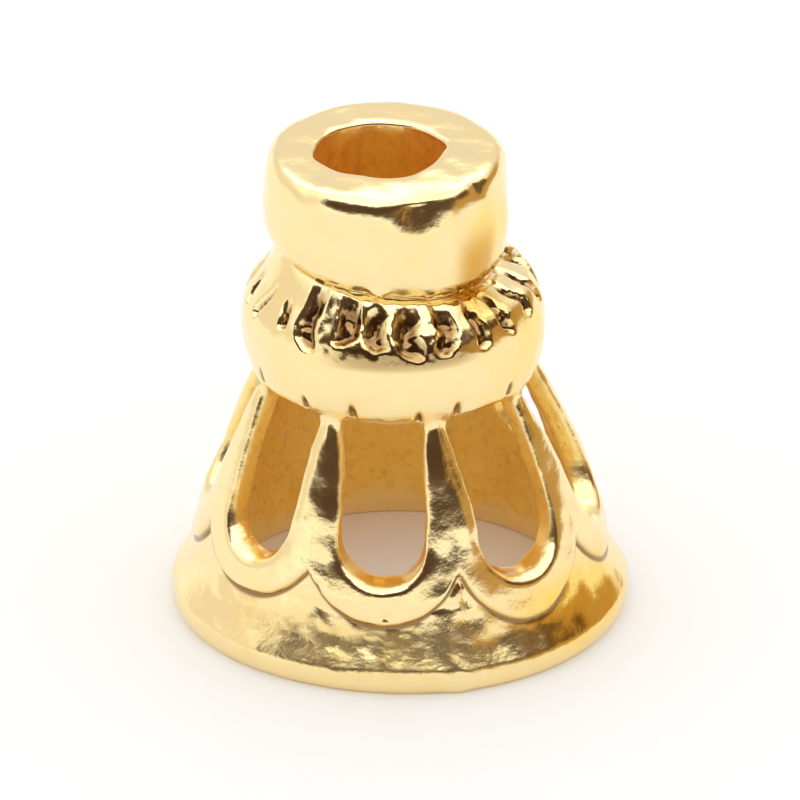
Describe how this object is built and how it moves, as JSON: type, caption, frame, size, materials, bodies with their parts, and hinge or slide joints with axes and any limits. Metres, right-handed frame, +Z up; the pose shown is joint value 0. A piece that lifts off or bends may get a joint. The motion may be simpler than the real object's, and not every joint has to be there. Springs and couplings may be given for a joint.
{
  "type": "bead cap",
  "caption": "Cast, gold-plated cone bead cap: a pierced cone with petal borders and a flared rim, under a fluted collar and a ring neck with a bore for the cord.",
  "frame": {"origin": "centre of the rim's foot, on the surface the cap stands on", "axes": "+Z up the cone's axis towards the neck; -Y is the front that the picture shows; +X is to its right"},
  "size_m": [0.009, 0.009, 0.0097],
  "materials": {
    "gold": "polished gold plate over a cast base, slightly uneven"
  },
  "bodies": {
    "root": {"bead_cap": "gold"}
  },
  "joints": []
}
